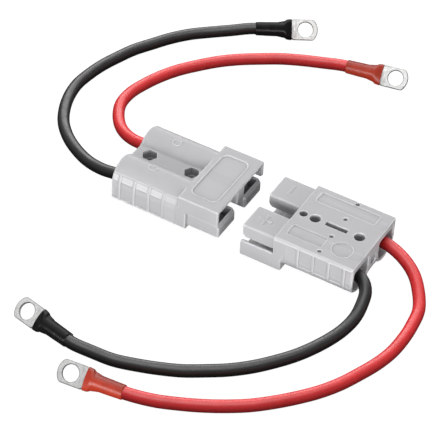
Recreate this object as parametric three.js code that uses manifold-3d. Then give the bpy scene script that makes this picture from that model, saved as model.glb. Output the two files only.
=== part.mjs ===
// Two-pole battery connector pair: two identical genderless halves, facing each other and about
// to be pushed together, each with a black and a red lead that ends in a ring lug.
// Millimetres, +Z up. The origin is on the surface that the pair lies on, midway between the halves.
// X is the mating axis. The right half lies top side up, the left half is the same part turned over.

import * as THREE from 'three';
import { mergeVertices } from 'three/addons/utils/BufferGeometryUtils.js';
import Module from 'manifold-3d';

const wasm = await Module();
wasm.setup();

// ---------- driving dimensions ----------

// Housing, in its own frame: x = 0 at the shoulder, -x towards the mate, z = 0 at the bottom
const WIDTH = 36.5;
const HEIGHT = 15.8;
const LENGTH = 48.55;
const TIP = 14.35;                       // tongues and hood reach this far in front of the shoulder
const REAR = LENGTH - TIP;
const HALF_WIDTH = WIDTH / 2;
const SHOULDER = 19.5;                   // each shoulder's distance from the middle of the pair
const CLEARANCE = 0.3;

const CELL_Y = 10.35;                    // pole centre line, each side of the middle
const AXIS_Z = 7.9;                      // mid-plane of the housing and axis of each crimp barrel

const BARREL = { y: 10.2, z: 8.05, r: 8.05 };          // rounded underside over each pole
const CHANNEL_FLOOR = 3.3;                             // groove floor between the two rounds
const GRIP_TOP = 14.5;                                 // where the grip recesses end, under the top edge
const TOP_BEVEL = { across: 0.8, down: 1 };            // along both sides of the flat top
const REAR_CORNER_R = 1.3;

const RIB = { first: 10.5, pitch: 6.65, count: 4, width: 1.1, depth: 0.5, lowDepth: 0.25 };
const GRIP_ANGLES = { step: 16, end: 37 };             // on the round: where the recess gets shallow, and ends

const HOOD = { back: 3.6, top: 7.4, plate: 1.25, wall: 1.25, web: 2.5, depth: 0.3, over: 7.8 };

const TONGUE = { inner: 3.85, outer: 16.8, under: 8.1, top: 14.35, wall: 1.25, lip: 1.3, nose: 1.5 };
const SLOT_ROOF = 12.9;                                // roof of the contact slot
const SLOT_FLOOR = 7.6;
const SLOT_BACK = 12;

const CRIMP_BORE = { r: 3.6, from: 11, to: 25 };
const CABLE_MOUTH = { from: 24, half: 6, z: 7.7, top: 12.7 };

const MOUNT_HOLES = { r: 2.2, x: [8.1, 27.4] };
const HEX = { across: 5.6, top: 6.9 };
const KEY_HOLE = { r: 1.65, x: 3, depth: 6 };
const LONG_SLOT = { x: [12.7, 22.2], width: 2.2, depth: 3 };
const REAR_HOLE = { r: 2.2, z: 8, depth: 3.2 };

// Contact blade with its crimp barrel, in the housing frame
const BLADE = { front: -10.8, back: 11.7, under: 7.95, thick: 1.6, width: 8.4, nose: 1 };
const CRIMP = { r: 3.25, bore: 1.85, from: 11.5, to: 23.5, wall: 1.5 };

// Leaf spring over the blade
const SPRING = { thick: 0.4, width: 7, top: 12.6, flat: [4, 10.5], low: -8.2, drop: 2.25, tip: -10.3, curl: 0.35 };

// Lead
const JACKET_R = 2.5;
const JACKET_BORE = 1.8;
const CORE_R = 1.5;
const STATION = 8;                       // spacing of the sections along a lead
const CORE_START = 13.5;                 // inside the crimp barrel, from the shoulder
const JACKET_START = 24.5;

// Ring lug, in its own frame: origin at the stud hole, +x to the tip, z normal to the pad
const LUG = {
  width: 8.9, thick: 1.2, hole: 3.25, tip: 5.3, tipR: 6.2, padBack: -5.2,
  barrelR: 2.45, bore: 1.8, barrelFront: -8.5, barrelBack: -16, boreEnd: -9,
};
const LUG_Z = 3.75;
const CORE_END = 9.5;                    // the core stops this far before the stud hole
const JACKET_END = 16.4;                 // the jacket stops this far before the stud hole
const SLEEVE = { front: -6.2, back: -21.5, wall: 0.35 };

// ---------- materials ----------

const plastic = () => new THREE.MeshStandardMaterial({ color: 0xc4c5c8, roughness: 0.45, metalness: 0 });
const silver = () => new THREE.MeshStandardMaterial({ color: 0xd6d5cf, roughness: 0.3, metalness: 1 });
const steel = () => new THREE.MeshStandardMaterial({ color: 0x9b9da0, roughness: 0.35, metalness: 1 });
const copper = () => new THREE.MeshStandardMaterial({ color: 0xb9713f, roughness: 0.4, metalness: 1 });
const tin = () => new THREE.MeshStandardMaterial({ color: 0xc8cac9, roughness: 0.35, metalness: 1 });
const jacketPaint = {
  black: () => new THREE.MeshStandardMaterial({ color: 0x24211f, roughness: 0.5, metalness: 0 }),
  red: () => new THREE.MeshStandardMaterial({ color: 0xcf2530, roughness: 0.45, metalness: 0 }),
};
const sleevePaint = {
  black: () => new THREE.MeshStandardMaterial({ color: 0x131313, roughness: 0.4, metalness: 0 }),
  red: () => new THREE.MeshStandardMaterial({ color: 0xc83a22, roughness: 0.4, metalness: 0 }),
};

// ---------- small tools ----------

function toSolid(geometry) {
  geometry.deleteAttribute('normal');
  geometry.deleteAttribute('uv');
  const merged = mergeVertices(geometry, 1e-4);
  return new wasm.Manifold(new wasm.Mesh({
    numProp: 3,
    vertProperties: new Float32Array(merged.attributes.position.array),
    triVerts: new Uint32Array(merged.index.array),
  }));
}

function toGeometry(solid) {
  const mesh = solid.getMesh();
  const geometry = new THREE.BufferGeometry();
  geometry.setAttribute('position', new THREE.BufferAttribute(new Float32Array(mesh.vertProperties), 3));
  geometry.setIndex(new THREE.BufferAttribute(new Uint32Array(mesh.triVerts), 1));
  geometry.computeVertexNormals();
  return geometry;
}

const join = (solids) => solids.reduce((all, next) => all.add(next));

// Block between two corners
function block(low, high) {
  const size = high.map((value, i) => value - low[i]);
  const geometry = new THREE.BoxGeometry(...size);
  geometry.translate(...low.map((value, i) => value + size[i] / 2));
  return toSolid(geometry);
}

// Round bar along Z or along X
function barZ(r, x, y, z0, z1, sides = 24) {
  const geometry = new THREE.CylinderGeometry(r, r, z1 - z0, sides);
  geometry.rotateX(Math.PI / 2);
  geometry.translate(x, y, (z0 + z1) / 2);
  return toSolid(geometry);
}

function barX(r, x0, x1, y, z, sides = 24) {
  const geometry = new THREE.CylinderGeometry(r, r, x1 - x0, sides);
  geometry.rotateZ(Math.PI / 2);
  geometry.translate((x0 + x1) / 2, y, z);
  return toSolid(geometry);
}

const EXTRUDE_PLAIN = { bevelEnabled: false, curveSegments: 10 };

// Outline in (y, z), drawn out along X
function drawnAlongX(shape, x0, x1) {
  const geometry = new THREE.ExtrudeGeometry(shape, { ...EXTRUDE_PLAIN, depth: x1 - x0 });
  const turn = new THREE.Matrix4().makeBasis(
    new THREE.Vector3(0, 1, 0), new THREE.Vector3(0, 0, 1), new THREE.Vector3(1, 0, 0));
  geometry.applyMatrix4(turn);
  geometry.translate(x0, 0, 0);
  return toSolid(geometry);
}

// Outline in (x, z), drawn out along Y, centred on y
function drawnAlongY(shape, width, y) {
  const geometry = new THREE.ExtrudeGeometry(shape, { ...EXTRUDE_PLAIN, depth: width });
  geometry.rotateX(Math.PI / 2);
  geometry.translate(0, y + width / 2, 0);
  return toSolid(geometry);
}

// Outline in (x, y), drawn up along Z
function drawnAlongZ(shape, z0, z1) {
  const geometry = new THREE.ExtrudeGeometry(shape, { ...EXTRUDE_PLAIN, depth: z1 - z0 });
  geometry.translate(0, 0, z0);
  return toSolid(geometry);
}

const radians = THREE.MathUtils.degToRad;

// ---------- housing ----------

// Cross-section behind the hood: flat top, upright sides, a round under each pole, groove between
function bodyOutline() {
  const rise = Math.asin((BARREL.z - CHANNEL_FLOOR) / BARREL.r);
  const innerY = BARREL.y - BARREL.r * Math.cos(rise);
  const shape = new THREE.Shape();
  shape.moveTo(-HALF_WIDTH + TOP_BEVEL.across, HEIGHT);
  shape.lineTo(-HALF_WIDTH, HEIGHT - TOP_BEVEL.down);
  shape.lineTo(-HALF_WIDTH, BARREL.z);
  shape.absarc(-BARREL.y, BARREL.z, BARREL.r, Math.PI, 2 * Math.PI - rise, false);
  shape.lineTo(innerY, CHANNEL_FLOOR);
  shape.absarc(BARREL.y, BARREL.z, BARREL.r, Math.PI + rise, 2 * Math.PI, false);
  shape.lineTo(HALF_WIDTH, HEIGHT - TOP_BEVEL.down);
  shape.lineTo(HALF_WIDTH - TOP_BEVEL.across, HEIGHT);
  shape.closePath();
  return shape;
}

// Plan of the body: square at the shoulder, rounded at the rear corners
function bodyPlan() {
  const shape = new THREE.Shape();
  shape.moveTo(0, -HALF_WIDTH);
  shape.lineTo(REAR - REAR_CORNER_R, -HALF_WIDTH);
  shape.absarc(REAR - REAR_CORNER_R, -HALF_WIDTH + REAR_CORNER_R, REAR_CORNER_R, -Math.PI / 2, 0, false);
  shape.lineTo(REAR, HALF_WIDTH - REAR_CORNER_R);
  shape.absarc(REAR - REAR_CORNER_R, HALF_WIDTH - REAR_CORNER_R, REAR_CORNER_R, 0, Math.PI / 2, false);
  shape.lineTo(0, HALF_WIDTH);
  shape.closePath();
  return shape;
}

// One grip recess on the +Y side, between two ribs: deep down to the round, then shallow
function gripRecess(x0, x1) {
  const floor = BARREL.r - RIB.depth;
  const lowFloor = BARREL.r - RIB.lowDepth;
  const outside = BARREL.r + 3;
  const step = -radians(GRIP_ANGLES.step);
  const end = -radians(GRIP_ANGLES.end);
  const shape = new THREE.Shape();
  shape.moveTo(BARREL.y + floor, GRIP_TOP);
  shape.lineTo(BARREL.y + floor, BARREL.z);
  shape.absarc(BARREL.y, BARREL.z, floor, 0, step, true);
  shape.absarc(BARREL.y, BARREL.z, lowFloor, step, end, true);
  shape.lineTo(BARREL.y + outside * Math.cos(end), BARREL.z + outside * Math.sin(end));
  shape.lineTo(BARREL.y + outside, BARREL.z + outside * Math.sin(end));
  shape.lineTo(BARREL.y + outside, GRIP_TOP);
  shape.closePath();
  return drawnAlongX(shape, x0, x1);
}

const mirrorY = (solid) => solid.mirror([0, 1, 0]);
const bothSides = (solid) => solid.add(mirrorY(solid));

function tongue() {
  const shape = new THREE.Shape();
  shape.moveTo(0.5, TONGUE.top);
  shape.lineTo(-TIP, TONGUE.top);
  shape.lineTo(-TIP, TONGUE.under + TONGUE.nose);
  shape.lineTo(-TIP + TONGUE.lip, TONGUE.under);
  shape.lineTo(0.5, TONGUE.under);
  shape.closePath();
  return drawnAlongY(shape, TONGUE.outer - TONGUE.inner, CELL_Y - 0.025);
}

// Everything that one pole takes out of the housing
function poleCavity() {
  const slotHalf = (TONGUE.outer - TONGUE.inner) / 2 - TONGUE.wall;
  const slotY = (TONGUE.outer + TONGUE.inner) / 2;
  const slot = block([-TIP + TONGUE.lip, slotY - slotHalf, SLOT_FLOOR], [SLOT_BACK, slotY + slotHalf, SLOT_ROOF]);
  const bore = barX(CRIMP_BORE.r, CRIMP_BORE.from, CRIMP_BORE.to, CELL_Y, AXIS_Z);
  const mouthRound = barX(CABLE_MOUTH.half, CABLE_MOUTH.from, REAR + 1, CELL_Y, CABLE_MOUTH.z, 36);
  const mouthTop = block(
    [CABLE_MOUTH.from, CELL_Y - CABLE_MOUTH.half, CABLE_MOUTH.z],
    [REAR + 1, CELL_Y + CABLE_MOUTH.half, CABLE_MOUTH.top]);
  const hood = block(
    [-TIP - 1, HOOD.web, HOOD.plate],
    [HOOD.depth, HALF_WIDTH - HOOD.wall, HOOD.over]);
  const overhang = block([CABLE_MOUTH.from - 1, 0, CABLE_MOUTH.top], [REAR + 2, HALF_WIDTH, HEIGHT + 1]);
  return join([slot, bore, mouthRound.subtract(overhang), mouthTop, hood]);
}

function centreHoles() {
  const slotHalf = LONG_SLOT.width / 2;
  const holes = MOUNT_HOLES.x.map((x) => barZ(MOUNT_HOLES.r, x, 0, -1, HEIGHT + 1));
  const nutPockets = MOUNT_HOLES.x.map((x) => {
    const geometry = new THREE.CylinderGeometry(HEX.across / Math.sqrt(3), HEX.across / Math.sqrt(3), HEX.top + 1, 6);
    geometry.rotateX(Math.PI / 2);
    geometry.rotateZ(Math.PI / 2);
    geometry.translate(x, 0, (HEX.top - 1) / 2);
    return toSolid(geometry);
  });
  return join([
    ...holes,
    ...nutPockets,
    barZ(KEY_HOLE.r, KEY_HOLE.x, 0, HEIGHT - KEY_HOLE.depth, HEIGHT + 1),
    block([LONG_SLOT.x[0], -slotHalf, HEIGHT - LONG_SLOT.depth], [LONG_SLOT.x[1], slotHalf, HEIGHT + 1]),
    barX(REAR_HOLE.r, REAR - REAR_HOLE.depth, REAR + 1, 0, REAR_HOLE.z),
  ]);
}

function housing() {
  const body = drawnAlongX(bodyOutline(), 0, REAR).intersect(drawnAlongZ(bodyPlan(), -1, HEIGHT + 1));
  const hood = block([-TIP, -HALF_WIDTH, 0], [0.1, HALF_WIDTH, HOOD.top]);
  const hoodRoot = block([0, -HALF_WIDTH, 0], [HOOD.back, HALF_WIDTH, BARREL.z]);
  const recesses = [];
  for (let i = 0; i < RIB.count; i += 1) {
    const from = RIB.first + i * RIB.pitch + RIB.width / 2;
    const to = i < RIB.count - 1 ? from + RIB.pitch - RIB.width : REAR + 1;
    recesses.push(gripRecess(from, to));
  }
  return join([body, hood, hoodRoot, bothSides(tongue())])
    .subtract(bothSides(join([...recesses, poleCavity()])))
    .subtract(centreHoles());
}

// ---------- contact and its leaf spring, on the +Y pole ----------

function contact() {
  const top = BLADE.under + BLADE.thick;
  const shape = new THREE.Shape();
  shape.moveTo(BLADE.back, BLADE.under);
  shape.lineTo(BLADE.back, top);
  shape.lineTo(BLADE.front, top);
  shape.lineTo(BLADE.front, BLADE.under + BLADE.nose * 0.6);
  shape.lineTo(BLADE.front + BLADE.nose, BLADE.under);
  shape.closePath();
  const blade = drawnAlongY(shape, BLADE.width, CELL_Y);
  const barrel = barX(CRIMP.r, CRIMP.from, CRIMP.to, CELL_Y, AXIS_Z, 20);
  const bore = barX(CRIMP.bore, CRIMP.from + CRIMP.wall, CRIMP.to + 1, CELL_Y, AXIS_Z, 16);
  return blade.add(barrel).subtract(bore);
}

function leafSpring() {
  const centre = SPRING.top - SPRING.thick / 2;
  const rest = centre - SPRING.drop;
  const line = new THREE.CurvePath();
  line.add(new THREE.LineCurve(new THREE.Vector2(SPRING.flat[1], centre), new THREE.Vector2(SPRING.flat[0], centre)));
  line.add(new THREE.CubicBezierCurve(
    new THREE.Vector2(SPRING.flat[0], centre), new THREE.Vector2(0, centre),
    new THREE.Vector2(SPRING.low + 4, rest), new THREE.Vector2(SPRING.low, rest)));
  line.add(new THREE.LineCurve(
    new THREE.Vector2(SPRING.low, rest), new THREE.Vector2(SPRING.tip, rest + SPRING.curl)));
  const points = line.getPoints(8);
  const upper = points.map((p) => new THREE.Vector2(p.x, p.y + SPRING.thick / 2));
  const lower = points.map((p) => new THREE.Vector2(p.x, p.y - SPRING.thick / 2)).reverse();
  return drawnAlongY(new THREE.Shape([...upper, ...lower]), SPRING.width, CELL_Y);
}

// ---------- leads ----------

// Each lead's route, from its crimp barrel to its lug's crimp, as a hand-laid list; the lug's heading
// and its roll about its own axis are in degrees
const LEADS = {
  left_black: {
    side: -1, lug: { x: -38.9, y: 115.1, heading: 31, roll: 45 },
    route: [
      [-33, -10.35, 7.9], [-38.5, -10.35, 7.9], [-44, -10.35, 7.9], [-53, -11, 7], [-62, -10.5, 5.2],
      [-70.5, -8, 3.6], [-78.5, -4, 2.7], [-86, 1, 2.5], [-92.5, 7.5, 2.5], [-97, 15, 2.5],
      [-100, 23, 2.5], [-101.5, 31.5, 2.5], [-101, 39.5, 2.5], [-99.5, 48, 2.5], [-97, 56, 2.5],
      [-94, 64, 2.5], [-89.5, 72, 2.5], [-85, 79.5, 2.5], [-79.5, 86.5, 2.5], [-73, 92.5, 2.55],
      [-66, 98, 2.95],
    ],
  },
  left_red: {
    side: 1, lug: { x: 8.8, y: 107.2, heading: 11.5, roll: 45 },
    route: [
      [-33, 10.35, 7.9], [-38.5, 10.35, 7.9], [-44, 10.35, 7.9], [-53, 10, 7], [-61.5, 11.5, 5.2],
      [-69.5, 16, 3.5], [-75.5, 22.5, 2.6], [-79.5, 30.5, 2.5], [-80, 39, 2.5], [-78, 47.5, 2.5],
      [-75, 55.5, 2.5], [-71, 63, 2.5], [-65.5, 70.5, 2.5], [-60, 77, 2.5], [-53.5, 83, 2.5],
      [-46, 88.5, 2.5], [-38.5, 93.5, 2.5], [-30.5, 97.5, 2.55], [-22, 100.5, 2.95],
    ],
  },
  right_black: {
    side: -1, lug: { x: -43.6, y: -92.0, heading: 168, roll: 40 },
    route: [
      [33, -10.35, 7.9], [38.5, -10.35, 7.9], [44, -10.35, 7.9], [50, -10.5, 7.9], [55.5, -12.5, 7.6],
      [59, -16.5, 6.7], [60.5, -22, 5.2], [61, -28, 3.7], [60, -35, 2.7], [58, -42, 2.5],
      [55, -49.5, 2.5], [51, -57, 2.5], [46, -64, 2.5], [40.5, -70.5, 2.5], [34, -76.5, 2.5],
      [27, -81.5, 2.5], [20, -86, 2.5], [12.5, -89.5, 2.5], [4.5, -92.5, 2.5], [-4, -95, 2.55],
      [-12.5, -96, 2.95],
    ],
  },
  right_red: {
    side: 1, lug: { x: -12.7, y: -109.9, heading: -174, roll: 45 },
    route: [
      [33, 10.35, 7.9], [38.5, 10.35, 7.9], [44, 10.35, 7.9], [53, 10.5, 7.8], [62, 8, 6.8],
      [69.5, 3.5, 5.2], [75, -3, 3.7], [79, -10.5, 2.7], [80.5, -19, 2.5], [81, -27, 2.5],
      [80.5, -36, 2.5], [78.5, -44.5, 2.5], [75.5, -52.5, 2.5], [72, -60.5, 2.5], [67.5, -68, 2.5],
      [62, -75, 2.5], [56, -81.5, 2.5], [49.5, -87.5, 2.5], [42.5, -92.5, 2.5], [35, -97, 2.5],
      [27, -101, 2.55], [19.5, -104.5, 2.95],
    ],
  },
};

// Frame of a lug: +x along its heading, z normal to its pad, rolled towards -Y
function lugFrame(lug) {
  const heading = radians(lug.heading);
  const along = new THREE.Vector3(Math.cos(heading), Math.sin(heading), 0);
  const level = new THREE.Vector3(-Math.sin(heading), Math.cos(heading), 0);
  const lean = level.y > 0 ? -1 : 1;
  const roll = radians(lug.roll) * lean;
  const normal = new THREE.Vector3(0, 0, Math.cos(roll)).addScaledVector(level, Math.sin(roll));
  const across = new THREE.Vector3().crossVectors(normal, along);
  return new THREE.Matrix4().makeBasis(along, across, normal).setPosition(lug.x, lug.y, LUG_Z);
}

// The whole route: the laid points, then straight into the lug's crimp
function leadCurve(lead) {
  const frame = lugFrame(lead.lug);
  const straight = [-JACKET_END - 7, -JACKET_END, -CORE_END]
    .map((x) => new THREE.Vector3(x, 0, 0).applyMatrix4(frame));
  const laid = lead.route.map((p) => new THREE.Vector3(...p));
  return new THREE.CatmullRomCurve3([...laid, ...straight], false, 'centripetal');
}

// A path that visits given stations, so that tubes on the same stations bend at the same places
class Stations extends THREE.Curve {
  constructor(curve, distances) {
    super();
    const length = curve.getLength();
    const fractions = distances.map((d) => Math.min(d / length, 1));
    this.places = fractions.map((u) => curve.getPointAt(u));
    this.headings = fractions.map((u) => curve.getTangentAt(u));
  }

  index(u) {
    return Math.round(u * (this.places.length - 1));
  }

  getPoint(u, target = new THREE.Vector3()) {
    return target.copy(this.places[this.index(u)]);
  }

  getPointAt(u, target) {
    return this.getPoint(u, target);
  }

  getTangentAt(u, target = new THREE.Vector3()) {
    return target.copy(this.headings[this.index(u)]);
  }
}

function ring(radius, sides, boreRadius) {
  const at = (r, i) => {
    const angle = (2 * Math.PI * i) / sides;
    return new THREE.Vector2(r * Math.cos(angle), r * Math.sin(angle));
  };
  const steps = Array.from({ length: sides }, (_, i) => i);
  const shape = new THREE.Shape(steps.map((i) => at(radius, i)));
  if (boreRadius) {
    shape.holes.push(new THREE.Path(steps.map((i) => at(boreRadius, i))));
  }
  return shape;
}

function tubeOn(stations, section) {
  const steps = stations.places.length - 1;
  return new THREE.ExtrudeGeometry(section, { steps, bevelEnabled: false, extrudePath: stations });
}

function leadTubes(lead) {
  const curve = leadCurve(lead);
  const length = curve.getLength();
  const count = Math.round(length / STATION);
  const all = Array.from({ length: count + 1 }, (_, i) => (length * i) / count);
  const from = JACKET_START - CORE_START;
  const to = length - (JACKET_END - CORE_END);
  const inner = all.filter((d) => d > from + 1.5 && d < to - 1.5);
  return {
    core: tubeOn(new Stations(curve, all), ring(CORE_R, 8)),
    jacket: tubeOn(new Stations(curve, [from, ...inner, to]), ring(JACKET_R, 10, JACKET_BORE)),
  };
}

// ---------- ring lug and heat-shrink sleeve, in the lug's frame ----------

// Skin through oval sections [x, half width, half height], in order. With a bore, the skin turns back
// through the bore's sections and closes on itself; without one, each end is capped.
function loft(outer, bore, sides = 16) {
  const positions = [];
  const triangles = [];
  const addRing = ([x, halfWidth, halfHeight]) => {
    const start = positions.length / 3;
    for (let i = 0; i < sides; i += 1) {
      const angle = (2 * Math.PI * i) / sides;
      positions.push(x, halfWidth * Math.cos(angle), halfHeight * Math.sin(angle));
    }
    return start;
  };
  const band = (a, b) => {
    for (let i = 0; i < sides; i += 1) {
      const j = (i + 1) % sides;
      triangles.push(a + i, a + j, b + j, a + i, b + j, b + i);
    }
  };
  const cap = (start, x, forward) => {
    const centre = positions.length / 3;
    positions.push(x, 0, 0);
    for (let i = 0; i < sides; i += 1) {
      const j = (i + 1) % sides;
      triangles.push(centre, start + (forward ? i : j), start + (forward ? j : i));
    }
  };
  const sections = bore ? [...outer, ...[...bore].reverse()] : outer;
  const rings = sections.map(addRing);
  for (let i = 0; i < rings.length - 1; i += 1) {
    band(rings[i], rings[i + 1]);
  }
  if (bore) {
    band(rings[rings.length - 1], rings[0]);
  } else {
    cap(rings[0], outer[0][0], false);
    cap(rings[rings.length - 1], outer[outer.length - 1][0], true);
  }
  const geometry = new THREE.BufferGeometry();
  geometry.setAttribute('position', new THREE.Float32BufferAttribute(positions, 3));
  geometry.setIndex(triangles);
  geometry.computeVertexNormals();
  return geometry;
}

// Flattening of the tube between barrel and pad: [x, half width, half height]
const FLATTEN = [[-8.5, 2.45, 2.45], [-7.4, 3.1, 1.85], [-6.2, 3.85, 1.2], [-5, 4.35, 0.62]];

function ringLug() {
  const half = LUG.width / 2;
  const reach = Math.sqrt(LUG.tipR ** 2 - half ** 2);
  const centre = LUG.tip - LUG.tipR;
  const shape = new THREE.Shape();
  shape.moveTo(LUG.padBack, -half);
  shape.lineTo(centre + reach, -half);
  shape.absarc(centre, 0, LUG.tipR, -Math.asin(half / LUG.tipR), Math.asin(half / LUG.tipR), false);
  shape.lineTo(LUG.padBack, half);
  shape.closePath();
  const pad = drawnAlongZ(shape, -LUG.thick / 2, LUG.thick / 2);
  const barrel = barX(LUG.barrelR, LUG.barrelBack, LUG.barrelFront + 0.2, 0, 0, 16);
  const neck = toSolid(loft(FLATTEN));
  const bore = barX(LUG.bore, LUG.barrelBack - 1, LUG.boreEnd, 0, 0, 16);
  const studHole = barZ(LUG.hole, 0, 0, -2, 2, 28);
  return toGeometry(join([pad, barrel, neck]).subtract(bore).subtract(studHole));
}

function heatShrink() {
  const gap = CLEARANCE;
  const wide = (ring3, grow) => [ring3[0], ring3[1] + grow, ring3[2] + grow];
  const bore = [
    [SLEEVE.back, JACKET_R + gap, JACKET_R + gap],
    [LUG.barrelFront - 0.6, LUG.barrelR + gap, LUG.barrelR + gap],
    ...FLATTEN.slice(0, 3).map((r) => wide(r, gap + 0.05)),
  ];
  return loft(bore.map((r) => wide(r, SLEEVE.wall)), bore);
}

// ---------- the assembly ----------

const assembly = new THREE.Group();

function place(parent, name, geometry, material) {
  const mesh = new THREE.Mesh(geometry, material);
  mesh.name = name;
  parent.add(mesh);
  return mesh;
}

const COLOURS = { black: -1, red: 1 };

function half(name) {
  const group = new THREE.Group();
  const shell = housing();
  const blade = contact();
  const spring = leafSpring();
  place(group, `${name}_housing`, toGeometry(shell), plastic());
  for (const [colour, side] of Object.entries(COLOURS)) {
    const onSide = (solid) => toGeometry(side > 0 ? solid : mirrorY(solid));
    place(group, `${name}_${colour}_contact`, onSide(blade), silver());
    place(group, `${name}_${colour}_spring`, onSide(spring), steel());
  }
  return group;
}

const rightHalf = half('right');
rightHalf.position.x = SHOULDER;

const leftHalf = half('left');
leftHalf.rotation.y = Math.PI;
leftHalf.position.set(-SHOULDER, 0, HEIGHT);

assembly.add(rightHalf, leftHalf);

for (const [name, lead] of Object.entries(LEADS)) {
  const colour = name.split('_')[1];
  const tubes = leadTubes(lead);
  place(assembly, `${name}_conductor`, tubes.core, copper());
  place(assembly, `${name}_jacket`, tubes.jacket, jacketPaint[colour]());
  const end = new THREE.Group();
  end.applyMatrix4(lugFrame(lead.lug));
  place(end, `${name}_lug`, ringLug(), tin());
  place(end, `${name}_sleeve`, heatShrink(), sleevePaint[colour]());
  assembly.add(end);
}

export default assembly;
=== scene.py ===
"""Two-pole battery connector pair with four short leads, each ending in a ring lug.

Lengths are in millimetres until a mesh, curve, light or camera is made; Blender then gets metres.
Housing frame: x = 0 at the shoulder, -x towards the mate, z = 0 at the bottom of the half.
"""

import math

import bpy
import numpy as np
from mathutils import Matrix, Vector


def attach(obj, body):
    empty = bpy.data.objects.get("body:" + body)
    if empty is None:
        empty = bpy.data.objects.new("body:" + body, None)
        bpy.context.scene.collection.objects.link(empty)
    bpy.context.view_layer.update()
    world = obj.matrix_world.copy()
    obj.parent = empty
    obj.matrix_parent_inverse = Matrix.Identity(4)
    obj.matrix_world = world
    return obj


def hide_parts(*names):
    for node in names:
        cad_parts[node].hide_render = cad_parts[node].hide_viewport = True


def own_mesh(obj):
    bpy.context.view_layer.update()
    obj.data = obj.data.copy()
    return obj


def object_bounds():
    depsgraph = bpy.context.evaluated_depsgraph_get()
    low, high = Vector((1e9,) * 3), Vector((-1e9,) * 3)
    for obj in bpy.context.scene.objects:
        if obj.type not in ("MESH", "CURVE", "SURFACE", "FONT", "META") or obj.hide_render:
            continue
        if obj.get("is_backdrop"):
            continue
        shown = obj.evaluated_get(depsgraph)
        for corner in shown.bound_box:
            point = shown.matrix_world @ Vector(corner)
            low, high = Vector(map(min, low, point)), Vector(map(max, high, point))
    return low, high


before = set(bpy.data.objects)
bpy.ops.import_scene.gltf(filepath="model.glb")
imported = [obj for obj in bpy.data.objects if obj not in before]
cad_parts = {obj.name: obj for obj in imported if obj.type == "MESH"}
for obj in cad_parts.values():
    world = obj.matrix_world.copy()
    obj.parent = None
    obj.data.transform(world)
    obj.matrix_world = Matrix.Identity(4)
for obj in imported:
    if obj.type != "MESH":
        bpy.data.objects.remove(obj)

import openvdb
from mathutils import Matrix, Vector

MM = 0.001
CAD_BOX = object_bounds()

# ---------------------------------------------------------------------------
# Sizes
# ---------------------------------------------------------------------------

HALF_WIDTH = 18.25
HEIGHT = 15.8
TIP = 14.35
REAR = 34.2
SHOULDER = 19.5

CELL_Y = 10.35
AXIS_Z = 7.9

BARREL_Y = 10.2
BARREL_Z = 8.05
BARREL_R = 8.05
CHANNEL_FLOOR = 3.3
CHANNEL_HALF = 5.0

HOOD_BACK = 3.6
HOOD_TOP = 7.4
HOOD_WEB = 2.5
HOOD_WALL = 1.25

TONGUE_MIDDLE = 10.325
TONGUE_HALF = 6.475
TONGUE_UNDER = 8.1
TONGUE_TOP = 14.35
TONGUE_WALL = 1.25
TONGUE_LIP = 1.3
TONGUE_NOSE = 1.5

RIB_FIRST = 10.5
RIB_PITCH = 6.65
RIB_COUNT = 4
RIB_WIDTH = 1.1
RIB_DEPTH = 0.5
RIB_LOW_DEPTH = 0.25
GRIP_TOP = 14.5
GRIP_STEP = math.radians(16)
GRIP_END = math.radians(37)
TOP_BEVEL = (0.8, 1.0)

MOUNT_HOLES_X = (8.1, 27.4)
MOUNT_HOLE_R = 2.2
NUT_ACROSS = 5.6
NUT_TOP = 6.9

KEY_HOLE_X = 3
KEY_HOLE_R = 1.65
KEY_HOLE_DEPTH = 6
LONG_SLOT_X = (12.7, 22.2)
LONG_SLOT_HALF = 1.1
LONG_SLOT_DEPTH = 3
REAR_HOLE_R = 2.2
REAR_HOLE_Z = 8
REAR_HOLE_DEPTH = 3.2

SLOT_ROOF = 12.9
SLOT_FLOOR = 7.6
SLOT_BACK = 12.0
CRIMP_ROOM_R = 3.6
CRIMP_ROOM_X = (11, 25)
CABLE_MOUTH_FRONT = 24
CABLE_MOUTH_HALF = 6
CABLE_MOUTH_Z = 7.7
CABLE_MOUTH_TOP = 12.7
MARK_HEIGHT = 0.17                       # low enough to pass under the mate's hood

BLADE_X = (-10.8, 11.9)
BLADE_Z = (7.95, 9.55)
BLADE_HALF = 4.2
CRIMP_X = (11.5, 23.5)
CRIMP_R = 3.25
CRIMP_BORE_R = 1.85
CRIMP_DENTS_X = (15.6, 20.0)

SPRING_HIGH = 12.4
SPRING_LOW = 10.15
SPRING_HALF = 3.5
SPRING_THICK = 0.4

VOXEL = 0.18
CORD_R = 2.5

# ---------------------------------------------------------------------------
# Camera
# ---------------------------------------------------------------------------

CAMERA = {
    "azimuth": 27.79,
    "elevation": 42.60,
    "roll": 3.60,
    "distance": 900.0,
    "target": (-4.185, -14.50, 8.0),
    "lens": 186.7,
}


def add_camera():
    azimuth, elevation, roll = (math.radians(CAMERA[k]) for k in ("azimuth", "elevation", "roll"))
    right = Vector((math.cos(azimuth), math.sin(azimuth), 0))
    back = Vector((
        math.sin(azimuth) * math.cos(elevation),
        -math.cos(azimuth) * math.cos(elevation),
        math.sin(elevation),
    ))
    up = back.cross(right)
    across = right * math.cos(roll) + up * math.sin(roll)
    upward = up * math.cos(roll) - right * math.sin(roll)
    data = bpy.data.cameras.new("camera")
    data.lens = CAMERA["lens"]
    data.sensor_width = 36
    data.clip_start = 0.05
    data.clip_end = 20
    camera = bpy.data.objects.new("camera", data)
    place = Matrix((across, upward, back)).transposed().to_4x4()
    place.translation = (Vector(CAMERA["target"]) + back * CAMERA["distance"]) * MM
    camera.matrix_world = place
    bpy.context.collection.objects.link(camera)
    bpy.context.scene.camera = camera


add_camera()

# ---------------------------------------------------------------------------
# Leads: the routes repeat the CAD model's
# ---------------------------------------------------------------------------

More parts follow.
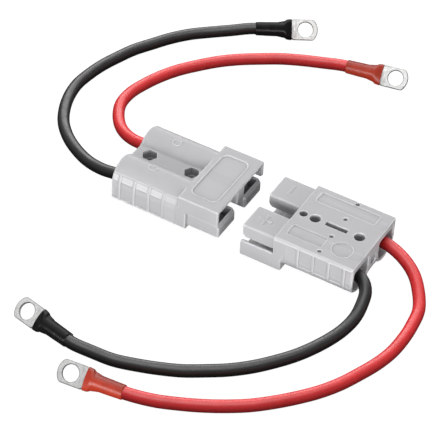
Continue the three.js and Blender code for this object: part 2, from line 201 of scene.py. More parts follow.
LEADS = {
    "left_black": {
        "lug": (-38.9, 115.1), "heading": 31, "roll": 45,
        "route": (
            (-44, -10.35, 7.9), (-53, -11, 7), (-62, -10.5, 5.2), (-70.5, -8, 3.6), (-78.5, -4, 2.7),
            (-86, 1, 2.5), (-92.5, 7.5, 2.5), (-97, 15, 2.5), (-100, 23, 2.5), (-101.5, 31.5, 2.5),
            (-101, 39.5, 2.5), (-99.5, 48, 2.5), (-97, 56, 2.5), (-94, 64, 2.5), (-89.5, 72, 2.5),
            (-85, 79.5, 2.5), (-79.5, 86.5, 2.5), (-73, 92.5, 2.55), (-66, 98, 2.95),
        ),
    },
    "left_red": {
        "lug": (8.8, 107.2), "heading": 11.5, "roll": 45,
        "route": (
            (-44, 10.35, 7.9), (-53, 10, 7), (-61.5, 11.5, 5.2), (-69.5, 16, 3.5), (-75.5, 22.5, 2.6),
            (-79.5, 30.5, 2.5), (-80, 39, 2.5), (-78, 47.5, 2.5), (-75, 55.5, 2.5), (-71, 63, 2.5),
            (-65.5, 70.5, 2.5), (-60, 77, 2.5), (-53.5, 83, 2.5), (-46, 88.5, 2.5), (-38.5, 93.5, 2.5),
            (-30.5, 97.5, 2.55), (-22, 100.5, 2.95),
        ),
    },
    "right_black": {
        "lug": (-43.6, -92.0), "heading": 168, "roll": 40,
        "route": (
            (44, -10.35, 7.9), (50, -10.5, 7.9), (55.5, -12.5, 7.6), (59, -16.5, 6.7),
            (60.5, -22, 5.2), (61, -28, 3.7), (60, -35, 2.7), (58, -42, 2.5), (55, -49.5, 2.5),
            (51, -57, 2.5), (46, -64, 2.5), (40.5, -70.5, 2.5), (34, -76.5, 2.5), (27, -81.5, 2.5),
            (20, -86, 2.5), (12.5, -89.5, 2.5), (4.5, -92.5, 2.5), (-4, -95, 2.55), (-12.5, -96, 2.95),
        ),
    },
    "right_red": {
        "lug": (-12.7, -109.9), "heading": -174, "roll": 45,
        "route": (
            (44, 10.35, 7.9), (53, 10.5, 7.8), (62, 8, 6.8), (69.5, 3.5, 5.2), (75, -3, 3.7),
            (79, -10.5, 2.7), (80.5, -19, 2.5), (81, -27, 2.5), (80.5, -36, 2.5), (78.5, -44.5, 2.5),
            (75.5, -52.5, 2.5), (72, -60.5, 2.5), (67.5, -68, 2.5), (62, -75, 2.5), (56, -81.5, 2.5),
            (49.5, -87.5, 2.5), (42.5, -92.5, 2.5), (35, -97, 2.5), (27, -101, 2.55),
            (19.5, -104.5, 2.95),
        ),
    },
}
LUG_Z = 3.75
JACKET_END = 16.4
STEP = 1.6


def lug_matrix(lead):
    """Frame of a lug, in millimetres: +x along its heading, +z normal to its pad."""
    heading, roll = math.radians(lead["heading"]), math.radians(lead["roll"])
    along = Vector((math.cos(heading), math.sin(heading), 0))
    level = Vector((-math.sin(heading), math.cos(heading), 0))
    lean = -roll if level.y > 0 else roll
    normal = Vector((0, 0, math.cos(lean))) + level * math.sin(lean)
    matrix = Matrix((along, normal.cross(along), normal)).transposed().to_4x4()
    matrix.translation = (*lead["lug"], LUG_Z)
    return matrix


def centripetal(points, step):
    """A centripetal Catmull-Rom line through the points, resampled about a step apart."""
    p = np.array(points, float)
    p = np.vstack([2 * p[0] - p[1], p, 2 * p[-1] - p[-2]])
    pieces = []
    for i in range(1, len(p) - 2):
        a, b, c, d = p[i - 1:i + 3]
        t1 = math.sqrt(math.dist(a, b))
        t2 = t1 + math.sqrt(math.dist(b, c))
        t3 = t2 + math.sqrt(math.dist(c, d))
        t = np.linspace(t1, t2, 24, endpoint=False)[:, None]
        ab = ((t1 - t) * a + t * b) / t1
        bc = ((t2 - t) * b + (t - t1) * c) / (t2 - t1)
        cd = ((t3 - t) * c + (t - t2) * d) / (t3 - t2)
        abc = ((t2 - t) * ab + t * bc) / t2
        bcd = ((t3 - t) * bc + (t - t1) * cd) / (t3 - t1)
        pieces.append(((t2 - t) * abc + (t - t1) * bcd) / (t2 - t1))
    line = np.vstack([*pieces, p[-2:-1]])
    along = np.concatenate([[0], np.cumsum(np.linalg.norm(np.diff(line, axis=0), axis=1))])
    at = np.linspace(0, along[-1], int(along[-1] / step) + 1)
    return np.stack([np.interp(at, along, line[:, k]) for k in range(3)], axis=1), along[-1]


def round_tube(name, line, radius, around=32):
    """A capped round tube along a line that is nowhere upright. Its UV map is unrolled true to size."""
    along = np.gradient(line, axis=0)
    along /= np.linalg.norm(along, axis=1, keepdims=True)
    side = np.cross((0, 0, 1), along)
    side /= np.linalg.norm(side, axis=1, keepdims=True)
    above = np.cross(along, side)
    turn = np.arange(around) * 2 * math.pi / around
    spokes = side[:, None] * np.cos(turn)[None, :, None] + above[:, None] * np.sin(turn)[None, :, None]
    rings = line[:, None] + radius * spokes
    count = len(line)
    faces, unrolled = [], []
    for i in range(count - 1):
        for j in range(around):
            k = (j + 1) % around
            faces.append((i * around + j, (i + 1) * around + j, (i + 1) * around + k, i * around + k))
            low, high = i * STEP / (2 * math.pi * radius), (i + 1) * STEP / (2 * math.pi * radius)
            near, far = j / around, (j + 1) / around
            unrolled += [(near, low), (near, high), (far, high), (far, low)]
    faces.append(tuple(range(around)))
    faces.append(tuple((count - 1) * around + j for j in reversed(range(around))))
    unrolled += [(0, 0)] * (2 * around)
    mesh = bpy.data.meshes.new(name)
    mesh.from_pydata((rings.reshape(-1, 3) * MM).tolist(), [], faces)
    mesh.uv_layers.new(name="unrolled").data.foreach_set("uv", np.array(unrolled, np.float32).ravel())
    mesh.shade_smooth()
    return mesh


def add_cord(name, lead):
    frame_of_lug = lug_matrix(lead)
    straight = [frame_of_lug @ Vector((-JACKET_END - back, 0, 0)) for back in (7, 0)]
    line, length = centripetal([*lead["route"], *straight], STEP)
    piece = bpy.data.objects.new(f"{name}_cable", round_tube(f"{name}_cable", line, CORD_R))
    bpy.context.collection.objects.link(piece)
    return piece, length, (line * MM).tolist()


cords = {name: add_cord(name, lead) for name, lead in LEADS.items()}

# ---------------------------------------------------------------------------
# Solids as distance fields
# ---------------------------------------------------------------------------


def meet(a, b, r=0.0):
    """What is in both, with the edge between them rounded to r."""
    if r == 0:
        return np.maximum(a, b)
    round_part = np.hypot(np.maximum(a + r, 0), np.maximum(b + r, 0))
    return np.minimum(np.maximum(a, b), -r) + round_part


def fuse(a, b, r=0.0):
    """What is in either, with the corner between them filled to r."""
    return -meet(-a, -b, r)


def cut(a, b, r=0.0):
    return meet(a, -b, r)


def between(v, low, high):
    return np.maximum(low - v, v - high)


def rounded_box(x, y, low, high, r):
    """Distance to a rectangle with rounded corners."""
    dx = np.abs(x - (low[0] + high[0]) / 2) - (high[0] - low[0]) / 2 + r
    dy = np.abs(y - (low[1] + high[1]) / 2) - (high[1] - low[1]) / 2 + r
    return np.hypot(np.maximum(dx, 0), np.maximum(dy, 0)) + np.minimum(np.maximum(dx, dy), 0) - r


def step(d, soft=0.12):
    """1 where d is well inside, 0 where it is well outside, and smooth between."""
    t = np.clip(0.5 - d / (2 * soft), 0, 1)
    return t * t * (3 - 2 * t)


def bead(d, width, soft=0.12):
    """1 along the outline of a shape."""
    return step(np.abs(d) - width / 2, soft)


def solid(name, field, low, high, voxel, adaptivity=0.01):
    """A mesh, in metres, of the surface where the field is zero, with the field's own normals.

    Its point attribute "edge" is positive on outer edges, negative in inner corners and 0 on the flat; the
    materials use it as the mask for painted shade in corners and painted highlight or shade on edges.
    """
    axes = [np.arange(a, b + voxel, voxel, dtype=np.float32) for a, b in zip(low, high)]
    x, y, z = axes[0][:, None, None], axes[1][None, :, None], axes[2][None, None, :]
    shape = tuple(len(a) for a in axes)
    values = np.broadcast_to(field(x, y, z), shape).astype(np.float32)
    grid = openvdb.FloatGrid(4.0)
    grid.copyFromArray(np.ascontiguousarray(np.clip(values / voxel, -4, 4)))
    grid.gridClass = openvdb.GridClass.LEVEL_SET
    points, triangles, quads = grid.convertToPolygons(isovalue=0.0, adaptivity=adaptivity)
    points = points.astype(np.float64)
    normals = gradient_at(values, points)

    mesh = bpy.data.meshes.new(name)
    loops = np.concatenate([triangles.ravel(), quads.ravel()]).astype(np.int32)
    sizes = np.concatenate([np.full(len(triangles), 3), np.full(len(quads), 4)]).astype(np.int32)
    starts = np.concatenate([[0], np.cumsum(sizes)[:-1]]).astype(np.int32)
    places = points * voxel + np.array(low)
    mesh.vertices.add(len(points))
    mesh.vertices.foreach_set("co", (places * MM).astype(np.float32).ravel())
    mesh.loops.add(len(loops))
    mesh.loops.foreach_set("vertex_index", loops)
    mesh.polygons.add(len(sizes))
    mesh.polygons.foreach_set("loop_start", starts)
    mesh.polygons.foreach_set("loop_total", sizes)
    mesh.update(calc_edges=True)
    mesh.validate()

    facing = np.zeros(len(mesh.polygons) * 3, np.float32)
    mesh.polygons.foreach_get("normal", facing)
    first = np.zeros(len(mesh.loops), np.int32)
    mesh.loops.foreach_get("vertex_index", first)
    starts = np.zeros(len(mesh.polygons), np.int32)
    mesh.polygons.foreach_get("loop_start", starts)
    if (facing.reshape(-1, 3) * normals[first[starts]]).sum() < 0:
        mesh.flip_normals()
    mesh.shade_smooth()
    mesh.normals_split_custom_set_from_vertices(normals.tolist())
    edge = np.clip(curvature_at(values, points) / voxel ** 2 / 3, -1, 1).astype(np.float32)
    mesh.attributes.new("edge", "FLOAT", "POINT").data.foreach_set("value", edge)
    return mesh


def sample(values, points):
    """Values of a grid at points in grid steps."""
    base = np.clip(np.floor(points).astype(int), 0, np.array(values.shape) - 2)
    f = points - base
    total = 0
    for corner in np.ndindex(2, 2, 2):
        weight = np.prod(np.where(corner, f, 1 - f), axis=1)
        i = base + corner
        total = total + weight * values[i[:, 0], i[:, 1], i[:, 2]]
    return total


def gradient_at(values, points):
    """Unit gradient of a grid of values at points in grid steps."""
    nudges = 0.6 * np.eye(3)
    slope = np.stack([sample(values, points + n) - sample(values, points - n) for n in nudges], axis=1)
    return slope / np.maximum(np.linalg.norm(slope, axis=1, keepdims=True), 1e-9)


def curvature_at(values, points):
    """How sharply the surface bends at points in grid steps, positive where it is convex."""
    reach = 1.6
    around = sum(sample(values, points + n) + sample(values, points - n) for n in reach * np.eye(3))
    return (around - 6 * sample(values, points)) / reach ** 2


# ---------------------------------------------------------------------------
# Housing
# ---------------------------------------------------------------------------


def past_angle(a, z, angle):
    """Distance beyond an angle round the barrel, counted down from its widest point."""
    return -math.cos(angle) * (z - BARREL_Z) - math.sin(angle) * (a - BARREL_Y)


def grip_recesses(x, a, z, under):
    """The hollows between the ribs of one side: deep down to the round, then shallow."""
    past_step, past_end = (past_angle(a, z, angle) for angle in (GRIP_STEP, GRIP_END))
    found = None
    spans = [(4.6, RIB_FIRST - RIB_WIDTH / 2, 0.15, 0.08)]
    for i in range(RIB_COUNT):
        start = RIB_FIRST + i * RIB_PITCH + RIB_WIDTH / 2
        end = start + RIB_PITCH - RIB_WIDTH if i < RIB_COUNT - 1 else REAR + 5
        spans.append((start, end, RIB_DEPTH, RIB_LOW_DEPTH))
    for start, end, depth, low_depth in spans:
        span = between(x, start, end)
        skin = np.where(z > BARREL_Z, a - HALF_WIDTH, under)
        deep = meet(meet(span, meet(past_step, z - GRIP_TOP), 0.2), -(skin + depth), 0.12)
        low = meet(meet(span, meet(past_end, z - BARREL_Z), 0.3), -(skin + low_depth), 0.08)
        hollow = np.minimum(deep, low)
        found = hollow if found is None else np.minimum(found, hollow)
    return found


def cavities(x, a, z):
    """What one pole takes out of the housing, seen from the middle outwards."""
    slot_half = TONGUE_HALF - TONGUE_WALL
    slot = meet(
        rounded_box(x, z, (-TIP + TONGUE_LIP, 5.0), (SLOT_BACK, SLOT_ROOF), 0.3),
        np.abs(a - TONGUE_MIDDLE) - slot_half, 0.3)
    slot = meet(slot, SLOT_FLOOR - z)
    bore = meet(np.hypot(a - CELL_Y, z - AXIS_Z) - CRIMP_ROOM_R, between(x, *CRIMP_ROOM_X))
    throat = np.hypot(a - CELL_Y, np.minimum(z - CABLE_MOUTH_Z, 0)) - CABLE_MOUTH_HALF
    mouth = meet(meet(throat, z - CABLE_MOUTH_TOP, 0.9), CABLE_MOUTH_FRONT - x, 0.4)
    hood = meet(
        rounded_box(x, z, (-TIP - 5, 1.25), (0.3, 12), 0.3),
        between(a, HOOD_WEB, HALF_WIDTH - HOOD_WALL), 0.3)
    hood = meet(hood, z - 7.8)
    return np.minimum(np.minimum(slot, hood), bore), mouth


def centre_holes(x, y, z):
    """Screw holes, nut pockets, key hole, long slot and rear hole."""
    found = None
    for centre in MOUNT_HOLES_X:
        hole = np.hypot(x - centre, y) - MOUNT_HOLE_R
        dx, dy = np.abs(x - centre), np.abs(y)
        hexagon = np.maximum(dy, dx * math.cos(math.pi / 6) + dy * 0.5) - NUT_ACROSS / 2
        both = np.minimum(hole, meet(hexagon, z - NUT_TOP, 0.2))
        found = both if found is None else np.minimum(found, both)
    key = meet(np.hypot(x - KEY_HOLE_X, y) - KEY_HOLE_R, HEIGHT - KEY_HOLE_DEPTH - z, 0.3)
    start, end = LONG_SLOT_X
    outline = rounded_box(x, y, (start, -LONG_SLOT_HALF), (end, LONG_SLOT_HALF), 0.15)
    long_slot = meet(outline, HEIGHT - LONG_SLOT_DEPTH - z, 0.1)
    rear = meet(np.hypot(y, z - REAR_HOLE_Z) - REAR_HOLE_R, REAR - REAR_HOLE_DEPTH - x, 0.2)
    for more in (key, long_slot, rear):
        found = np.minimum(found, more)
    return found


def top_relief(x, y):
    """Height of the raised and sunk detail on the flat top: blank panels, ring, ejector dimples."""
    relief = 0.0
    for low, high in (((3.0, -13.6), (17.8, -7.4)), ((3.6, 8.8), (29.2, 14.8))):
        relief = relief + sunk_panel(rounded_box(x, y, low, high, 0.9), 0.12, 0.2)
    relief = relief + sunk_panel(np.hypot(x - 25.3, y + 10.1) - 4.2, 0.12, 0.2)
    for dimple_y in (-15.2, -5.5, 5.9, 16.0):
        dimple = np.hypot(x - 18.2, y - dimple_y) - 0.78
        relief = relief - 0.9 * step(dimple, 0.2)
    return relief


def sunk_panel(outline, rim, depth):
    """A blank panel let in by a depth, with a fine raised rim round it."""
    return rim * bead(outline - 0.15, 0.4) - depth * step(outline + 0.3)


def tongue_marks(x, y):
    """A raised plus on the -Y tongue and a raised bar on the +Y tongue."""
    stroke = 0.6
    plus = np.minimum(
        rounded_box(x, y, (-11.2, -9.9 - stroke), (-5.2, -9.9 + stroke), 0.3),
        rounded_box(x, y, (-8.2 - stroke, -13.0), (-8.2 + stroke, -6.8), 0.3))
    bar = rounded_box(x, y, (-8.2 - stroke, 8.2), (-8.2 + stroke, 13.6), 0.3)
    return MARK_HEIGHT * step(np.minimum(plus, bar), 0.12)


def under_relief(x, a):
    """Blank label panel on the hood and a small blank pad on the crown of each barrel."""
    relief = sunk_panel(rounded_box(x, a, (-10.6, -13.6), (1.1, 13.6), 2.8), 0.16, 0.36)
    pad = rounded_box(x, a, (18.7, 7.6), (22.1, 10.6), 1.3)
    return relief + 0.2 * bead(pad, 0.5, 0.15)


def housing_field(x, y, z):
    a = np.abs(y)
    under = np.hypot(a - BARREL_Y, z - BARREL_Z) - BARREL_R
    rear = x - REAR
    corner = meet(a - HALF_WIDTH, rear, 1.3)
    across, down = TOP_BEVEL
    bevel = (down * (a - HALF_WIDTH) + across * (z - HEIGHT) + across * down) / math.hypot(across, down)
    upper = meet(meet(meet(corner, bevel, 0.25), z - HEIGHT, 0.3), BARREL_Z - z)
    channel = meet(meet(a - CHANNEL_HALF, CHANNEL_FLOOR - z), z - HEIGHT + 1)
    rounds = meet(fuse(under, channel, 0.5), rear, 1.2)

    profile = meet(meet(-TIP - x, -z, 0.8), z - HOOD_TOP, 1.1)
    profile = meet(profile, x - HOOD_BACK, 0.35)
    hood = meet(profile, a - HALF_WIDTH, 0.55)
    root = meet(meet(meet(x - HOOD_BACK, -z, 0.35), a - HALF_WIDTH, 0.55), z - 9)

    body = fuse(rounds, root, 0.7)
    body = np.maximum(body, z - 9.5)
    body = np.minimum(np.minimum(body, rounds), upper)
    body = np.maximum(body, np.maximum(a - HALF_WIDTH, -z))
    body = meet(body, -x, 0.35)

    nose = TONGUE_NOSE * (-TIP - x) + TONGUE_LIP * (TONGUE_UNDER + TONGUE_NOSE - z)
    nose = nose / math.hypot(TONGUE_NOSE, TONGUE_LIP)
    tongue = meet(meet(-TIP - x, nose, 0.5), TONGUE_UNDER - z, 0.3)
    tongue = meet(tongue, z - TONGUE_TOP, 0.8)
    tongue = meet(tongue, np.abs(a - TONGUE_MIDDLE) - TONGUE_HALF, 0.8)
    tongue = meet(tongue, x - 2)
    hood = meet(hood, x - 1)
    body = np.minimum(fuse(body, tongue, 0.25), hood)

    body = cut(body, grip_recesses(x, a, z, under), 0.4)
    seam = 0.07 * np.exp(-((z - BARREL_Z) / 0.13) ** 2) * (a > 15) * (x > HOOD_BACK)
    body = body - seam

    inner, mouth = cavities(x, a, z)
    body = cut(body, inner, 0.22)
    body = cut(body, mouth, 0.4)
    body = cut(body, centre_holes(x, y, z), 0.18)

    body = body - top_relief(x, y) * (z > HEIGHT - 1.2) * (x > 0.5)
    body = body - tongue_marks(x, y) * (z > TONGUE_TOP - 1) * (x < -1)
    return body - under_relief(x, a) * (z < 1)


housing_mesh = solid(
    "housing", housing_field,
    (-TIP - 1.2, -HALF_WIDTH - 1, -1.0), (REAR + 1, HALF_WIDTH + 1, HEIGHT + 1), VOXEL)

HALF_PLACES = {
    "right": Matrix.Translation((SHOULDER * MM, 0, 0)),
    "left": Matrix.Translation((-SHOULDER * MM, 0, HEIGHT * MM)) @ Matrix.Rotation(math.pi, 4, "Y"),
}


def add_piece(name, mesh, place, body, slot, *nodes):
    piece = bpy.data.objects.new(name, mesh)
    bpy.context.collection.objects.link(piece)
    piece.matrix_world = place
    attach(piece, body)
    if nodes:
        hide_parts(*nodes)
    return piece


housings = {
    name: add_piece(
        f"{name}_shell", housing_mesh, place, f"{name}_half", "housing_plastic", f"{name}_housing")
    for name, place in HALF_PLACES.items()
}

# ---------------------------------------------------------------------------
# Contacts and leaf springs
# ---------------------------------------------------------------------------


def contact_field(x, y, z):
    """Flat blade with a softened nose, running back into a crimp barrel with two crimp dents."""
    blade = meet(between(x, *BLADE_X), between(z, *BLADE_Z), 0.3)
    blade = meet(blade, np.abs(y) - BLADE_HALF, 0.4)
    radius = np.hypot(y, z - AXIS_Z)
    dents = 0.0
    for centre in CRIMP_DENTS_X:
        along = np.exp(-((x - centre) / 1.0) ** 2)
        dents = dents + 0.35 * along * np.exp(-(y / 1.4) ** 2) * (z > AXIS_Z)
    barrel = meet(radius - CRIMP_R + dents, between(x, *CRIMP_X), 0.25)
    body = fuse(blade, barrel, 0.4)
    body = np.maximum(body, radius - 4.6 + 4 * step(x - 11, 0.3))
    bore = meet(radius - CRIMP_BORE_R, 13 - x, 0.2)
    return cut(body, bore, 0.15)


def leaf_spring(name):
    """A bent leaf: flat under the roof, dropping to the blade, with a curled tip."""
    points = [(10.5, SPRING_HIGH), (4.0, SPRING_HIGH)]
    hull = ((4.0, SPRING_HIGH), (0.0, SPRING_HIGH), (-4.2, SPRING_LOW), (-8.2, SPRING_LOW))
    for i in range(1, 17):
        t = i / 16
        weights = ((1 - t) ** 3, 3 * t * (1 - t) ** 2, 3 * t * t * (1 - t), t ** 3)
        points.append(tuple(sum(w * p[k] for w, p in zip(weights, hull)) for k in range(2)))
    points += [(-9.2, 10.22), (-10.3, 10.5)]
    rows = []
    for i, (x, z) in enumerate(points):
        share = i / (len(points) - 1)
        half = SPRING_HALF - 0.9 * max(0.0, share - 0.55) / 0.45
        rows.append([(x, -half, z), (x, -half + 0.3, z), (x, 0, z), (x, half - 0.3, z), (x, half, z)])
    vertices = [Vector(p) * MM for row in rows for p in row]
    width = len(rows[0])
    faces = [
        (i * width + j, i * width + j + 1, (i + 1) * width + j + 1, (i + 1) * width + j)
        for i in range(len(rows) - 1) for j in range(width - 1)
    ]
    mesh = bpy.data.meshes.new(name)
    mesh.from_pydata(vertices, [], faces)
    piece = bpy.data.objects.new(name, mesh)
    bpy.context.collection.objects.link(piece)
    thicken = piece.modifiers.new("thickness", "SOLIDIFY")
    thicken.thickness = SPRING_THICK * MM
    thicken.offset = 0
    soften = piece.modifiers.new("edges", "BEVEL")
    soften.width = 0.08 * MM
    soften.segments = 2
    bpy.context.view_layer.update()
    made = bpy.data.meshes.new_from_object(piece.evaluated_get(bpy.context.evaluated_depsgraph_get()))
    bpy.data.objects.remove(piece)
    made.shade_smooth()
    return made


contact_mesh = solid("contact", contact_field, (-12.6, -5.2, 4.0), (24.3, 5.2, 11.8), 0.16)
spring_mesh = leaf_spring("spring")
COLOUR_SIDES = {"black": -1, "red": 1}

contacts, springs = [], []
for half, place in HALF_PLACES.items():
    for colour, sign in COLOUR_SIDES.items():
        pole = place @ Matrix.Translation((0, sign * CELL_Y * MM, 0))
        contacts.append(add_piece(
            f"{half}_{colour}_blade", contact_mesh, pole, f"{half}_{colour}_contact",
            "contact_silver", f"{half}_{colour}_contact"))
        leaf = add_piece(
            f"{half}_{colour}_leaf", spring_mesh.copy(), pole, f"{half}_half",
            "spring_steel", f"{half}_{colour}_spring")
        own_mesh(leaf)
        springs.append(leaf)

# ---------------------------------------------------------------------------
# Ring lugs and heat-shrink sleeves, in the lug's frame
# ---------------------------------------------------------------------------

PAD_HALF = 4.45
PAD_TIP_R = 6.2
STUD_R = 3.25
FLATTEN_X = np.array([-16.0, -8.5, -7.4, -6.2, -5.0, -4.0])
FLATTEN_WIDE = np.array([2.45, 2.45, 3.05, 3.8, 4.3, 4.45])
FLATTEN_THICK = np.array([2.45, 2.45, 1.85, 1.2, 0.7, 0.6])


def lug_field(x, y, z):
    """A flattened tube: round pad with its stud hole, neck, and crimp barrel."""
    outline = meet(np.hypot(x - 5.3 + PAD_TIP_R, y) - PAD_TIP_R, np.abs(y) - PAD_HALF, 0.5)
    outline = meet(outline, -6.0 - x)
    thickness = 0.6 + 0.04 * np.exp(-((np.hypot(x, y) - 3.9) / 0.5) ** 2)
    pad = meet(outline, np.abs(z) - thickness, 0.22)
    pad = cut(pad, np.hypot(x, y) - STUD_R, 0.2)
    wide = np.interp(x, FLATTEN_X, FLATTEN_WIDE)
    thick = np.interp(x, FLATTEN_X, FLATTEN_THICK)
    oval = (np.sqrt((y / wide) ** 2 + (z / thick) ** 2) - 1) * np.minimum(wide, thick)
    neck = meet(oval, between(x, -16.0, -4.2), 0.2)
    body = fuse(pad, neck, 0.5)
    body = np.maximum(body, np.abs(y) - PAD_HALF)
    bore = meet(np.hypot(y, z) - 1.8, x + 9.0, 0.3)
    return cut(body, bore, 0.15)


SLEEVE_STATIONS = np.array([-21.5, -19.5, -17.0, -16.0, -12.0, -9.7, -9.1, -8.5, -7.9, -6.1])
SLEEVE_WIDE = np.array([2.87, 2.9, 2.96, 3.0, 3.05, 3.1, 3.5, 4.1, 4.4, 4.55])
SLEEVE_THICK = np.array([2.87, 2.9, 2.96, 3.0, 3.0, 2.95, 2.9, 2.8, 2.55, 1.75])


def sleeve_mesh(name, seed):
    """Shrunk tube over the barrel: a lofted skin with rolled ends and slight creases."""
    around = 56
    x = np.linspace(SLEEVE_STATIONS[0], SLEEVE_STATIONS[-1], 90)
    kernel = np.exp(-np.linspace(-2, 2, 9) ** 2)
    kernel = kernel / kernel.sum()
    wide, thick = (
        np.convolve(np.pad(np.interp(x, SLEEVE_STATIONS, v), 4, mode="edge"), kernel, "valid")
        for v in (SLEEVE_WIDE, SLEEVE_THICK)
    )
    angle = np.linspace(0, 2 * math.pi, around, endpoint=False)
    rings = []

    def add_ring(at, half_wide, half_thick, crease):
        wave = 1 + crease * (
            0.5 * np.sin(3 * angle + 0.9 * at + seed) + 0.3 * np.sin(7 * angle - 1.7 * at + 2 * seed))
        rings.append(np.column_stack([
            np.full(around, at), half_wide * wave * np.cos(angle), half_thick * wave * np.sin(angle)]))

    wall = 0.34
    last = len(x) - 1
    for k in range(5):
        turn = math.pi * (0.5 - k / 8)
        add_ring(
            x[0] + 0.17 * (1 - math.cos(math.pi / 2 - turn)),
            wide[0] - wall / 2 * (1 + math.sin(turn)) * 0.9,
            thick[0] - wall / 2 * (1 + math.sin(turn)) * 0.9, 0)
    for i in range(2, last - 1):
        add_ring(x[i], wide[i], thick[i], 0.007)
    for k in range(5):
        turn = k / 4 * math.pi
        inset = wall / 2 * (1 - math.cos(turn))
        add_ring(x[last] + 0.17 * math.sin(turn), wide[last] - inset, thick[last] - inset, 0)
    for i in (last - 6, last // 2, 4):
        add_ring(x[i], wide[i] - wall, thick[i] - wall, 0)
    count = len(rings)
    faces = []
    for i in range(count):
        for j in range(around):
            k = (j + 1) % around
            n = (i + 1) % count
            faces.append((i * around + j, n * around + j, n * around + k, i * around + k))
    mesh = bpy.data.meshes.new(name)
    mesh.from_pydata((np.vstack(rings) * MM).tolist(), [], faces)
    mesh.shade_smooth()
    return mesh


lug_mesh = solid("lug", lug_field, (-17.0, -5.4, -3.4), (6.2, 5.4, 3.4), 0.14)
lugs, sleeves = [], []
for index, (name, lead) in enumerate(LEADS.items()):
    matrix = lug_matrix(lead)
    matrix.translation = matrix.translation * MM
    half, colour = name.split("_")
    body = f"{half}_half"
    lug = add_piece(f"{name}_terminal", lug_mesh, matrix, body, "tinned_copper", f"{name}_lug")
    sleeve = add_piece(
        f"{name}_shrink", sleeve_mesh(f"{name}_shrink", index * 1.3), matrix, body,
        f"{colour}_heat_shrink", f"{name}_sleeve")
    lugs.append(lug)
    sleeves.append(sleeve)
    piece, length, path = cords[name]
    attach(piece, body)
    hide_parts(f"{name}_jacket")
    sign = COLOUR_SIDES[colour]

# ---------------------------------------------------------------------------
# Materials
# ---------------------------------------------------------------------------


class Surface:
    """A Principled surface with helpers for its texture nodes."""

    def __init__(self, name, **fixed):
        self.material = bpy.data.materials.new(name)
        self.material.use_nodes = True
        self.tree = self.material.node_tree
        self.shader = self.tree.nodes["Principled BSDF"]
        for key, value in fixed.items():
            self.shader.inputs[key.replace("_", " ")].default_value = value
        self.where = self.tree.nodes.new("ShaderNodeTexCoord")

    def node(self, kind, **settings):
        made = self.tree.nodes.new(kind)
        for key, value in settings.items():
            setattr(made, key, value)
        return made

    def link(self, a, b):
        self.tree.links.new(a, b)

    def noise(self, scale, detail=3.0, roughness=0.5, stretch=None, source="Object"):
        texture = self.node("ShaderNodeTexNoise")
        texture.inputs["Scale"].default_value = scale
        texture.inputs["Detail"].default_value = detail
        texture.inputs["Roughness"].default_value = roughness
        if stretch:
            mapping = self.node("ShaderNodeMapping")
            mapping.inputs["Scale"].default_value = stretch
            self.link(self.where.outputs[source], mapping.inputs["Vector"])
            self.link(mapping.outputs["Vector"], texture.inputs["Vector"])
        else:
            self.link(self.where.outputs[source], texture.inputs["Vector"])
        return texture.outputs["Fac"]

    def ramp(self, factor, *stops):
        made = self.node("ShaderNodeValToRGB")
        elements = made.color_ramp.elements
        while len(elements) < len(stops):
            elements.new(0.5)
        for element, (position, colour) in zip(elements, stops):
            element.position = position
            element.color = (*colour, 1) if len(colour) == 3 else colour
        self.link(factor, made.inputs["Fac"])
        return made.outputs["Color"]

    def bump(self, height, strength, distance, before=None):
        made = self.node("ShaderNodeBump")
        made.inputs["Strength"].default_value = strength
        made.inputs["Distance"].default_value = distance
        self.link(height, made.inputs["Height"])
        if before is not None:
            self.link(before, made.inputs["Normal"])
        return made.outputs["Normal"]

    def painted_edge_shading(self, colour, corner, rim):
        """Painted shading: a colour that shifts towards one colour in inner corners (painted shade) and
        another on outer edges (painted highlight or shade).
        """
        edge = self.node("ShaderNodeAttribute", attribute_name="edge")
        for towards, sign in ((corner, -1), (rim, 1)):
            share = self.node("ShaderNodeMapRange")
            share.inputs["From Min"].default_value = 0.12 * sign
            share.inputs["From Max"].default_value = 1.0 * sign
            share.inputs["To Max"].default_value = 0.8
            self.link(edge.outputs["Fac"], share.inputs["Value"])
            mix = self.node("ShaderNodeMix", data_type="RGBA")
            mix.inputs["B"].default_value = (*towards, 1)
            self.link(share.outputs["Result"], mix.inputs["Factor"])
            self.link(colour, mix.inputs["A"])
            colour = mix.outputs["Result"]
        return colour

    def colour(self, socket):
        self.link(socket, self.shader.inputs["Base Color"])

    def rough(self, factor, low, high):
        made = self.node("ShaderNodeMapRange")
        made.inputs["From Min"].default_value = 0.3
        made.inputs["From Max"].default_value = 0.7
        made.inputs["To Min"].default_value = low
        made.inputs["To Max"].default_value = high
        self.link(factor, made.inputs["Value"])
        self.link(made.outputs["Result"], self.shader.inputs["Roughness"])

    def normal(self, socket):
        self.link(socket, self.shader.inputs["Normal"])


def moulded_plastic():
    s = Surface("moulded_grey_plastic", IOR=1.5)
    cloud = s.ramp(s.noise(90, 4, 0.55), (0.3, (0.372, 0.371, 0.381)), (0.7, (0.386, 0.385, 0.393)))
    # Painted shade darkens inner corners to 0.27 grey, and a painted highlight lightens outer edges to 0.58
    # grey.
    s.colour(s.painted_edge_shading(cloud, (0.27, 0.27, 0.28), (0.58, 0.58, 0.59)))
    s.rough(s.noise(400, 2), 0.36, 0.42)
    flow = s.bump(s.noise(120, 1), 0.01, 0.0002)
    s.normal(s.bump(s.noise(5200, 2, 0.6), 0.08, 0.00004, flow))
    return s.material


def insulation(name, dark, light):
    s = Surface(name, IOR=1.5)
    s.colour(s.ramp(s.noise(120, 3, 0.6), (0.3, dark), (0.7, light)))
    s.rough(s.noise(260, 3), 0.34, 0.44)
    drawn = s.bump(s.noise(1, 2, 0.5, (30, 0.8, 1), "UV"), 0.10, 0.0001)
    s.normal(s.bump(s.noise(2600, 2, 0.6), 0.12, 0.00005, drawn))
    return s.material


